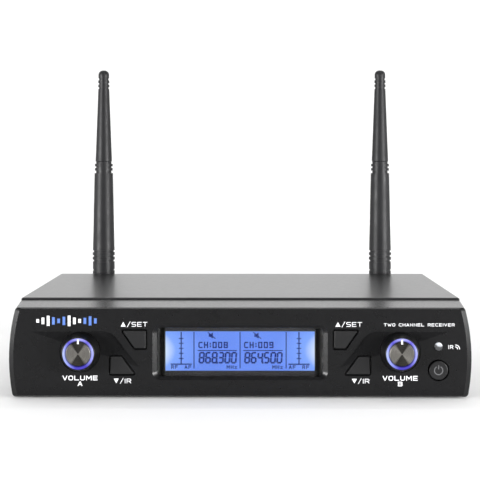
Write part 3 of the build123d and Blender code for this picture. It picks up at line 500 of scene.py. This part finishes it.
# Which nodes each material finishes. The caps and rings follow, because each needs its own.
FINISHES = {
    COVER: ["top_cover"],
    TRAY: ["base_tray", "rear_panel"],
    PANEL: ["front_panel"],
    BUTTON: ["set_button_a", "set_button_b", "ir_button_a", "ir_button_b", "power_button"],
    KNOB: ["knob_a", "knob_b"],
    DARK: ["lcd_frame", "display_gasket", "xlr_inserts", "jack_socket", "dc_inlet", "antenna_swivel_a",
           "antenna_swivel_b", "chips", "coax_lead_a", "coax_lead_b"],
    SWITCH: ["tact_switches", "power_switch"],
    NYLON: ["ribbon_headers"],
    RIBBON: ["ribbon_cable"],
    SLEEVE: ["capacitors"],
    ANTENNA: ["antenna_mast_a", "antenna_mast_b"],
    RUBBER: ["foot_pads"],
    STEEL: ["pot_body_a", "pot_body_b", "pot_shaft_a", "pot_shaft_b", "pot_nuts", "display_board_screws",
            "main_board_screws", "standoffs", "hinge_pin_a", "hinge_pin_b"],
    BLACK_STEEL: ["case_screws", "panel_screws", "xlr_screws"],
    NICKEL: ["xlr_shells", "jack_nut"],
    BRASS: ["xlr_pins", "antenna_sockets"],
    TIN: ["rf_module_a", "rf_module_b"],
    BOARD: ["display_board", "main_board"],
    CLEAR: ["display_window"],
    LENS: ["ir_lens"],
    WHITE: ["knob_pointer_a", "knob_pointer_b", "lcd_backlight"],
    LIT: ["lcd_glass"],
}


def finish_node(node, material):
    slots = NODES[node].data.materials
    slots.clear()
    slots.append(material)


for material, names in FINISHES.items():
    for name in names:
        finish_node(name, material)
for side in ("a", "b"):
    finish_node(f"knob_cap_{side}", spun_aluminium(f"cap_aluminium_{side}"))
    finish_node(f"knob_ring_{side}", ring_light(f"ring_light_{side}", f"knob_ring_{side}"))


# ---- Flat graphics: thin plates in the plane of the face ---------------------------------------------------

class Plates:
    """A piece made of thin plates that face the front. Their outlines are (x, z) in metres."""

    RISE_STEPS, RISE_SHARE = 6, 0.08  # how many stand-outs there are, and each one's share of the thickness
    LEAST_MITRE = 0.5  # keeps the corner of a sharp turn from running out to a spike
    SAME_PLACE = 1e-7  # metres between two ends that meet

    def __init__(self, name, y, thickness, material, body, slot):
        self.name, self.y, self.thickness = name, y, thickness
        self.material, self.body, self.slot = material, body, slot
        self.bm = bmesh.new()
        self.laid = 0

    def rise(self):
        """How far the next plate stands proud of the last ones, so that no two that cross share a plane."""
        self.laid += 1
        return self.thickness * self.RISE_SHARE * (self.laid % self.RISE_STEPS)

    def polygon(self, points):
        proud = self.rise()
        front = [self.bm.verts.new((x, self.y - proud, z)) for x, z in points]
        back = [self.bm.verts.new((x, self.y + self.thickness, z)) for x, z in points]
        self.bm.faces.new(front)
        self.bm.faces.new(back[::-1])
        count = len(points)
        for i in range(count):
            self.bm.faces.new((front[i], back[i], back[(i + 1) % count], front[(i + 1) % count]))

    def ribbon(self, points, width):
        """One plate of even width along a line of points, with mitred corners. It closes if its ends meet."""
        places = [Vector(point) for point in points]
        closed = len(places) > 2 and (places[0] - places[-1]).length < self.SAME_PLACE
        if closed:
            places.pop()
        count = len(places)
        runs = [(places[(i + 1) % count] - places[i]).normalized() for i in range(count)]
        left, right = [], []
        for i, place in enumerate(places):
            before, after = runs[i - 1], runs[i]
            if not closed and i == 0:
                before = after
                place = place - after * width / 2
            if not closed and i == count - 1:
                after = before
                place = place + before * width / 2
            across = Vector((-before.y - after.y, before.x + after.x)).normalized()
            mitre = across * width / 2 / max(self.LEAST_MITRE, across.dot(Vector((-before.y, before.x))))
            left.append(place + mitre)
            right.append(place - mitre)
        levels = (self.y - self.rise(), self.y + self.thickness)
        rows = [[self.bm.verts.new((p.x, y, p.y)) for p in side] for y in levels for side in (left, right)]
        front_left, front_right, back_left, back_right = rows
        for i in range(count if closed else count - 1):
            k = (i + 1) % count
            self.bm.faces.new((front_left[i], front_left[k], front_right[k], front_right[i]))
            self.bm.faces.new((back_left[i], back_right[i], back_right[k], back_left[k]))
            self.bm.faces.new((front_left[i], back_left[i], back_left[k], front_left[k]))
            self.bm.faces.new((front_right[i], front_right[k], back_right[k], back_right[i]))
        if not closed:
            for i in (0, count - 1):
                self.bm.faces.new((front_left[i], front_right[i], back_right[i], back_left[i]))

    def bar(self, x0, z0, x1, z1):
        self.polygon([(x0, z0), (x1, z0), (x1, z1), (x0, z1)])

    def arc(self, centre, radius, width, start, end, steps=24):
        """A band along a circle, between two angles in degrees."""
        x, z = centre
        turns = [math.radians(start + (end - start) * i / steps) for i in range(steps + 1)]
        self.ribbon([(x + radius * math.cos(t), z + radius * math.sin(t)) for t in turns], width)

    def done(self):
        bmesh.ops.recalc_face_normals(self.bm, faces=self.bm.faces)
        mesh = bpy.data.meshes.new(self.name)
        self.bm.to_mesh(mesh)
        self.bm.free()
        mesh.materials.append(self.material)
        made = bpy.data.objects.new(self.name, mesh)
        scene.collection.objects.link(made)
        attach(made, self.body)
        return made


# Letters as lines through points on a grid 4 wide and 6 high, with cut corners where the letter is round.
ROUND = [(0, 5), (1, 6), (3, 6), (4, 5), (4, 1), (3, 0), (1, 0), (0, 1), (0, 5)]
GLYPHS = {
    "A": [[(0, 0), (1.8, 6), (2.2, 6), (4, 0)], [(0.7, 1.8), (3.3, 1.8)]],
    "B": [[(0, 0), (0, 6), (3.2, 6), (3.9, 5.3), (3.9, 3.8), (3.2, 3.1), (0, 3.1)],
          [(3.2, 3.1), (4, 2.3), (4, 0.8), (3.2, 0), (0, 0)]],
    "C": [[(4, 6), (1, 6), (0, 5), (0, 1), (1, 0), (4, 0)]],
    "D": [[(0, 0), (0, 6), (3, 6), (4, 5), (4, 1), (3, 0), (0, 0)]],
    "E": [[(4, 6), (0, 6), (0, 0), (4, 0)], [(0, 3), (3.6, 3)]],
    "F": [[(4, 6), (0, 6), (0, 0)], [(0, 3), (3.6, 3)]],
    "H": [[(0, 0), (0, 6)], [(4, 0), (4, 6)], [(0, 3), (4, 3)]],
    "I": [[(2, 0), (2, 6)]],
    "L": [[(0, 6), (0, 0), (4, 0)]],
    "M": [[(0, 0), (0, 6), (0.3, 6), (2, 2), (3.7, 6), (4, 6), (4, 0)]],
    "N": [[(0, 0), (0, 6), (4, 0), (4, 6)]],
    "O": [ROUND],
    "P": [[(0, 0), (0, 6), (3.2, 6), (4, 5.2), (4, 3.6), (3.2, 2.8), (0, 2.8)]],
    "R": [[(0, 0), (0, 6), (3.2, 6), (4, 5.2), (4, 3.6), (3.2, 2.8), (0, 2.8)], [(2.2, 2.8), (4, 0)]],
    "S": [[(4, 6), (0.8, 6), (0, 5.2), (0, 3.8), (0.8, 3), (3.2, 3), (4, 2.2), (4, 0.8), (3.2, 0), (0, 0)]],
    "T": [[(0, 6), (4, 6)], [(2, 6), (2, 0)]],
    "U": [[(0, 6), (0, 1), (1, 0), (3, 0), (4, 1), (4, 6)]],
    "V": [[(0, 6), (1.8, 0), (2.2, 0), (4, 6)]],
    "W": [[(0, 6), (0.9, 0), (1.1, 0), (2, 4), (2.9, 0), (3.1, 0), (4, 6)]],
    "z": [[(0.3, 4), (3.7, 4), (0.3, 0), (3.7, 0)]],
    ":": [[(2, 1.2), (2, 1.6)], [(2, 4.2), (2, 4.6)]],
    " ": [],
}

# Seven-segment figures on the same grid, a from the top round the clock, and g across the middle.
SEGMENTS = {"a": [(0, 6), (4, 6)], "b": [(4, 6), (4, 3)], "c": [(4, 3), (4, 0)], "d": [(4, 0), (0, 0)],
            "e": [(0, 0), (0, 3)], "f": [(0, 3), (0, 6)], "g": [(0, 3), (4, 3)]}
LIT_SEGMENTS = {"0": "abcdef", "1": "bc", "2": "abged", "3": "abgcd", "4": "fgbc", "5": "afgcd",
                "6": "afgedc", "7": "abc", "8": "abcdefg", "9": "abcdfg"}
for digit, lit in LIT_SEGMENTS.items():
    GLYPHS[digit] = [SEGMENTS[name] for name in lit]
GRID_WIDTH, GRID_HEIGHT = 4, 6
WIDTHS = {"I": 0.8, ":": 1.6, " ": 2.6, "M": 4.8, "W": 5.4}  # of the letters that don't take the grid's
UPRIGHTS = ("I", ":")


def letter_width(letter, unit, stretch):
    return WIDTHS.get(letter, GRID_WIDTH) * unit * stretch


def text_width(text, height, stretch, gap):
    unit = height / GRID_HEIGHT
    return sum(letter_width(letter, unit, stretch) for letter in text) + gap * unit * (len(text) - 1)


def write(plates, text, x, z, height, stretch=1.4, weight=0.9, gap=1.6, centred=True):
    """Stroke lettering from (x, z), the middle or the left end of its foot line.

    weight is the width of its strokes and gap the room between letters, both in grid units.
    """
    unit = height / GRID_HEIGHT
    inset = weight * unit / 2
    cursor = x - text_width(text, height, stretch, gap) / 2 if centred else x
    for letter in text:
        width = letter_width(letter, unit, stretch)
        for path in GLYPHS[letter]:
            places = []
            for u, v in path:
                across = width / 2 if letter in UPRIGHTS else inset + u * (width - 2 * inset) / GRID_WIDTH
                places.append((cursor + across, z + inset + v * (height - 2 * inset) / GRID_HEIGHT))
            plates.ribbon(places, weight * unit)
        cursor += width + gap * unit


PRINT_THICKNESS = 0.03 * MM
FACE_PRINT = {"y": FACE_Y - PRINT_THICKNESS, "thickness": PRINT_THICKNESS, "body": "case",
              "slot": "pointer_white"}

# The words' foot lines, in millimetres above the underside of the case.
VOLUME_FOOT, CHANNEL_FOOT = 7.7, 5.1
UPPER_KEY_FOOT, LOWER_KEY_FOOT = 32.3, 6.4
LENS_FOOT, TITLE_FOOT = 22.2, 32.5
# Their middles, in millimetres from the middle of the face.
UPPER_KEY_WORD = {"a": -48.5, "b": 49.7}
LOWER_KEY_WORD = {"a": -53.8, "b": 55.1}
TITLE_MIDDLE = 81.9

EMBLEM_BARS = (1.6, 3.0, 4.6, 3.4, 2.0, 3.8, 4.8, 3.0, 1.8, 2.8, 4.2, 2.4)  # heights in millimetres
EMBLEM_BLUE = (3, 4, 5, 9, 10, 11)
EMBLEM_LEFT, EMBLEM_RIGHT, EMBLEM_MIDDLE = -92.6, -66.2, 34.9
EMBLEM_BAR_WIDTH = 1.24


def at_height(value):
    """Millimetres above the underside of the case, as a place in the frame."""
    return BASE_Z + value * MM


def make_labels():
    """The printed words and marks beside each control."""
    labels = Plates("panel_labels", material=WHITE, **FACE_PRINT)
    for side in ("a", "b"):
        x = middle(f"knob_{side}").x
        write(labels, "VOLUME", x, at_height(VOLUME_FOOT), 2.15 * MM, stretch=1.5, weight=1.05, gap=1.5)
        write(labels, side.upper(), x, at_height(CHANNEL_FOOT), 2.1 * MM, stretch=1.5, weight=1.1)
    for side in ("a", "b"):
        make_key_label(labels, UPPER_KEY_WORD[side] * MM, at_height(UPPER_KEY_FOOT), "SET", up=True)
        make_key_label(labels, LOWER_KEY_WORD[side] * MM, at_height(LOWER_KEY_FOOT), "IR", up=False)
    lens_x, foot = middle("ir_lens").x, at_height(LENS_FOOT)
    write(labels, "IR", lens_x + 5.6 * MM, foot, 1.7 * MM, stretch=1.3)
    for radius in (0.9, 1.8):
        labels.arc((lens_x + 7.8 * MM, foot), radius * MM, 0.35 * MM, 0, 90, 8)
    write(labels, "TWO CHANNEL RECEIVER", TITLE_MIDDLE * MM, at_height(TITLE_FOOT), 1.35 * MM,
          stretch=1.45, weight=1.0, gap=1.8)
    labels.done()


def make_key_label(labels, x, z, word, up):
    """A triangle, a stroke and a word, centred on x."""
    height, word_start = 2.1 * MM, 5.0 * MM
    style = {"stretch": 1.45, "gap": 1.5}
    left = x - (word_start + text_width(word, height, **style)) / 2
    tip, foot = (z + height, z) if up else (z, z + height)
    labels.polygon([(left, foot), (left + 2.3 * MM, foot), (left + 1.15 * MM, tip)])
    labels.ribbon([(left + 3.0 * MM, z - 0.1 * MM), (left + 4.3 * MM, z + height + 0.1 * MM)], 0.26 * MM)
    write(labels, word, left + word_start, z, height, weight=0.74, centred=False, **style)


def make_emblem():
    """A row of level bars at the top left, with a few in blue."""
    pitch = (EMBLEM_RIGHT - EMBLEM_LEFT) / (len(EMBLEM_BARS) - 1)
    half_bar = EMBLEM_BAR_WIDTH / 2 * MM
    white = Plates("emblem_bars", material=WHITE, **FACE_PRINT)
    blue = Plates("emblem_accent", material=BLUE, **FACE_PRINT)
    for index, height in enumerate(EMBLEM_BARS):
        plates = blue if index in EMBLEM_BLUE else white
        x = (EMBLEM_LEFT + pitch * index) * MM
        foot, top = at_height(EMBLEM_MIDDLE - height / 2), at_height(EMBLEM_MIDDLE + height / 2)
        plates.bar(x - half_bar, foot, x + half_bar, top)
    white.done()
    blue.done()


def make_rear_labels():
    """The words beside the rear sockets, laid out as seen from behind and then turned to face that way."""
    low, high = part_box("rear_panel")
    inserts_low, inserts_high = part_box("xlr_inserts")
    insert_radius = 9.6 * MM
    style = {"stretch": 1.3, "weight": 1.0}
    labels = Plates("rear_labels", -high.y - PRINT_THICKNESS, PRINT_THICKNESS, WHITE, "case", "pointer_white")
    for node, word, drop in (("dc_inlet", "DC IN", 16.6), ("jack_socket", "LINE", 14.6)):
        write(labels, word, -middle(node).x, high.z - drop * MM, 1.9 * MM, **style)
    outputs = (("OUTPUT A", inserts_low.x + insert_radius), ("OUTPUT B", inserts_high.x - insert_radius))
    for word, x in outputs:
        write(labels, word, -x, low.z + 1.6 * MM, 1.7 * MM, **style)
    for side in ("a", "b"):
        x = middle(f"antenna_swivel_{side}").x
        write(labels, f"ANT {side.upper()}", -x, low.z + 14 * MM, 1.9 * MM, **style)
    made = labels.done()
    made.rotation_euler.z = math.pi


def make_power_mark():
    """The broken ring and line printed on the power button."""
    place = middle("power_button")
    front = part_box("power_button")[0].y
    mark = Plates("power_mark", front - 0.02 * MM, PRINT_THICKNESS, GREY, "power_key", "button_plastic")
    mark.arc((place.x, place.z), 1.9 * MM, 0.42 * MM, 125, 415, 30)
    mark.bar(place.x - 0.22 * MM, place.z + 0.5 * MM, place.x + 0.22 * MM, place.z + 2.4 * MM)
    mark.done()


# ---- Display -----------------------------------------------------------------------------------------------

INK_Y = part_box("lcd_glass")[0].y - 0.08 * MM
INK_MIDDLE_Z = at_height(20.25)
WINDOW_MIDDLE_Z = at_height(20.7)
MASK_INSET = 0.3 * MM

# The readout's rows and rules, in millimetres from its middle.
RULE_TOP, RULE_FOOT, SCALE_FOOT, WORDS_FOOT = 8.9, -7.4, -5.7, -7.8
SCALE_POST, OUTER_RULE = 27.1, 21.2
SCALE_TICKS = (6.1, 3.9, 1.6, -0.7, -3.1)
CHANNELS = ((-19.4, "868.300", "CH:008"), (1.6, "864.500", "CH:009"))  # left end, figures, name

# The large figures.
LEAN = 0.12
FIGURE_STROKE = 0.78 * MM
FIGURE_SHARE = 0.66  # of its pitch that a figure takes
SEGMENT_GAP = 0.66  # how far a segment stops short of its corners, in strokes


def make_window_mask():
    """The black border printed behind the window, open over the lit cell."""
    low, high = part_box("display_window")
    mask = Plates("window_mask", high.y + 0.01 * MM, 0.05 * MM, BLACK_MASK, "case", "frame_plastic")
    side, bottom, top = high.x - MASK_INSET, low.z + MASK_INSET, high.z - MASK_INSET
    mask.bar(-side, bottom, -LIT_HALF_WIDTH, top)
    mask.bar(LIT_HALF_WIDTH, bottom, side, top)
    mask.bar(-LIT_HALF_WIDTH, bottom, LIT_HALF_WIDTH, WINDOW_MIDDLE_Z - LIT_HALF_HEIGHT)
    mask.bar(-LIT_HALF_WIDTH, WINDOW_MIDDLE_Z + LIT_HALF_HEIGHT, LIT_HALF_WIDTH, top)
    mask.done()


def make_readout():
    """The dark segments of both channels."""
    ink = Plates("lcd_segments", INK_Y, 0.04 * MM, INK, "case", "lcd_glass")

    def spot(x, z):
        return (x * MM, INK_MIDDLE_Z + z * MM)

    def line(x0, z0, x1, z1, width=0.55):
        ink.ribbon([spot(x0, z0), spot(x1, z1)], width * MM)

    for sign in (-1, 1):
        # The level scale at the outer end: a post with ticks on a foot line.
        post = sign * SCALE_POST
        line(post, RULE_TOP, post, SCALE_FOOT)
        line(post - 4.6, SCALE_FOOT, post + 4.6, SCALE_FOOT)
        for tick in SCALE_TICKS:
            line(post - 0.85, tick, post + 0.85, tick, 0.42)
        names = ("RF", "AF") if sign < 0 else ("AF", "RF")
        for offset, name in zip((-3.1, 3.1), names):
            write(ink, name, *spot(post + offset, WORDS_FOOT), 1.6 * MM, stretch=1.25, weight=1.35)
        line(sign * OUTER_RULE, RULE_TOP, sign * OUTER_RULE, RULE_FOOT, 0.45)
    line(0, RULE_TOP, 0, RULE_FOOT, 0.45)

    for left, number, name in CHANNELS:
        # A crossed-out speaker.
        x = left + 6.4
        ink.polygon([spot(x - 1.4, 6.9), spot(x - 0.7, 6.9), spot(x - 0.7, 8.1), spot(x - 1.4, 8.1)])
        ink.polygon([spot(x - 0.7, 6.9), spot(x + 0.5, 6.1), spot(x + 0.5, RULE_TOP), spot(x - 0.7, 8.1)])
        line(x - 1.7, RULE_TOP, x + 1.5, 6.2, 0.4)
        write(ink, name, *spot(left + 0.2, 1.7), 2.9 * MM, stretch=1.0, weight=1.2, gap=1.3, centred=False)
        line(left + 0.1, 0.6, left + 17.8, 0.6, 0.42)
        figures(ink, number, spot(left + 0.2, -5.0), 17.8 * MM, 4.6 * MM)
        write(ink, "MHz", *spot(left + 13.2, WORDS_FOOT), 1.6 * MM,
              stretch=1.2, weight=1.3, gap=1.5, centred=False)
    ink.done()


def figures(ink, text, place, width, height):
    """Large seven-segment figures that lean a little, spread evenly over a width, with a point among them."""
    pitch = width / len(text.replace(".", ""))
    scale_x, scale_z = FIGURE_SHARE * pitch / GRID_WIDTH, height / GRID_HEIGHT
    left, foot = place[0] + FIGURE_STROKE / 2, place[1]
    for letter in text:
        if letter == ".":
            point = left - 0.21 * pitch
            ink.bar(point - 0.45 * MM, foot - 0.45 * MM, point + 0.35 * MM, foot + 0.45 * MM)
            continue
        for segment in GLYPHS[letter]:
            start, end = (Vector((left + (u + LEAN * v) * scale_x, foot + v * scale_z)) for u, v in segment)
            short = (end - start).normalized() * SEGMENT_GAP * FIGURE_STROKE
            ink.ribbon([start + short, end - short], FIGURE_STROKE)
        left += pitch


make_labels()
make_emblem()
make_rear_labels()
make_power_mark()
make_window_mask()
make_readout()
